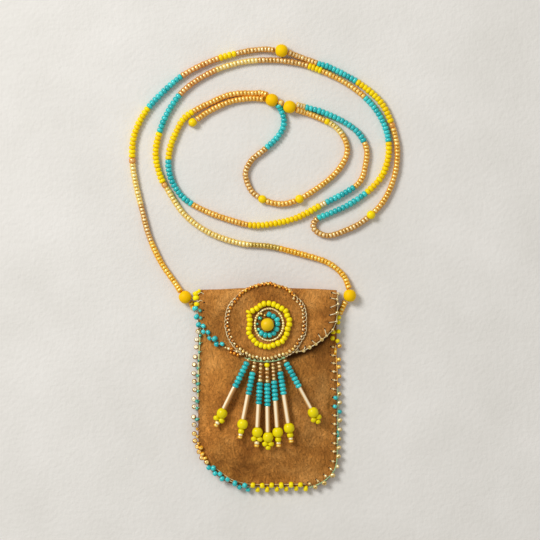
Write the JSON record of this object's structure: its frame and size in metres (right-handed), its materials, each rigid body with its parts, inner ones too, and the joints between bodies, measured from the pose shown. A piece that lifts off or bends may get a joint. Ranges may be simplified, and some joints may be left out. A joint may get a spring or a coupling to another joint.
{
  "type": "beaded pouch",
  "caption": "Flat suede pouch with a hinged flap, bead edging, a bead rosette and fringe, and a long beaded shoulder strap laid in loops.",
  "frame": {"origin": "underside of the back panel, at the middle of the pouch's width and length", "axes": "+Y towards the fold and the strap, +X to the right as the picture shows the front, +Z out of the front"},
  "size_m": [0.1278, 0.2106, 0.0174],
  "materials": {
    "suede": "napped suede",
    "turquoise_glass": "opaque gloss",
    "yellow_glass": "opaque gloss",
    "amber_glass": "translucent gloss",
    "gold_glass": "metal-lined gloss",
    "pale_gold_glass": "metal-lined gloss",
    "champagne_glass": "satin"
  },
  "bodies": {
    "pouch": {"back_panel": "suede", "front_panel": "suede", "edging_left_clear": "pale_gold_glass", "edging_corner_turquoise": "turquoise_glass", "edging_bottom_yellow": "yellow_glass", "edging_right_clear": "pale_gold_glass", "edging_right_amber": "amber_glass", "strap_bead_left": "amber_glass", "strap_left_run": "pale_gold_glass", "strap_bead_top": "amber_glass", "strap_right_run": "turquoise_glass", "strap_bead_right": "amber_glass", "strap_link_left": "gold_glass", "strap_link_right": "gold_glass", "strand_end_bead": "yellow_glass", "strand_tail": "gold_glass", "strand_bead_1": "amber_glass", "strand_small_loop": "turquoise_glass", "strand_bead_2": "amber_glass", "strand_cross_link": "gold_glass", "strand_large_loop": "gold_glass"},
    "flap": {"flap": "suede", "flap_edging_yellow": "yellow_glass", "flap_edging_turquoise": "turquoise_glass", "flap_edging_pale": "pale_gold_glass", "medallion_patch": "suede", "rosette_yellow_ring": "yellow_glass", "rosette_gold_ring": "gold_glass", "rosette_turquoise_ring": "turquoise_glass", "rosette_centre_bead": "yellow_glass", "fringe_1_gold": "gold_glass", "fringe_1_turquoise": "turquoise_glass", "fringe_1_bugle": "champagne_glass", "fringe_1_drop": "yellow_glass", "fringe_2_gold": "gold_glass", "fringe_2_turquoise": "turquoise_glass", "fringe_2_bugle": "champagne_glass", "fringe_2_drop": "yellow_glass", "fringe_3_gold": "gold_glass", "fringe_3_turquoise": "turquoise_glass", "fringe_3_bugle": "champagne_glass", "fringe_3_drop": "yellow_glass", "fringe_4_gold": "gold_glass", "fringe_4_turquoise": "turquoise_glass", "fringe_4_bugle": "champagne_glass", "fringe_4_drop": "yellow_glass", "fringe_5_gold": "gold_glass", "fringe_5_turquoise": "turquoise_glass", "fringe_5_bugle": "champagne_glass", "fringe_5_drop": "yellow_glass", "fringe_6_gold": "gold_glass", "fringe_6_turquoise": "turquoise_glass", "fringe_6_bugle": "champagne_glass", "fringe_6_drop": "yellow_glass", "fringe_7_gold": "gold_glass", "fringe_7_turquoise": "turquoise_glass", "fringe_7_bugle": "champagne_glass", "fringe_7_drop": "yellow_glass"}
  },
  "joints": [
    {"name": "flap_hinge", "type": "hinge", "parent": "pouch", "child": "flap", "pos_m": [0, 0.042, 0], "axis": [-1, 0, 0], "range_deg": [0, 110]}
  ]
}
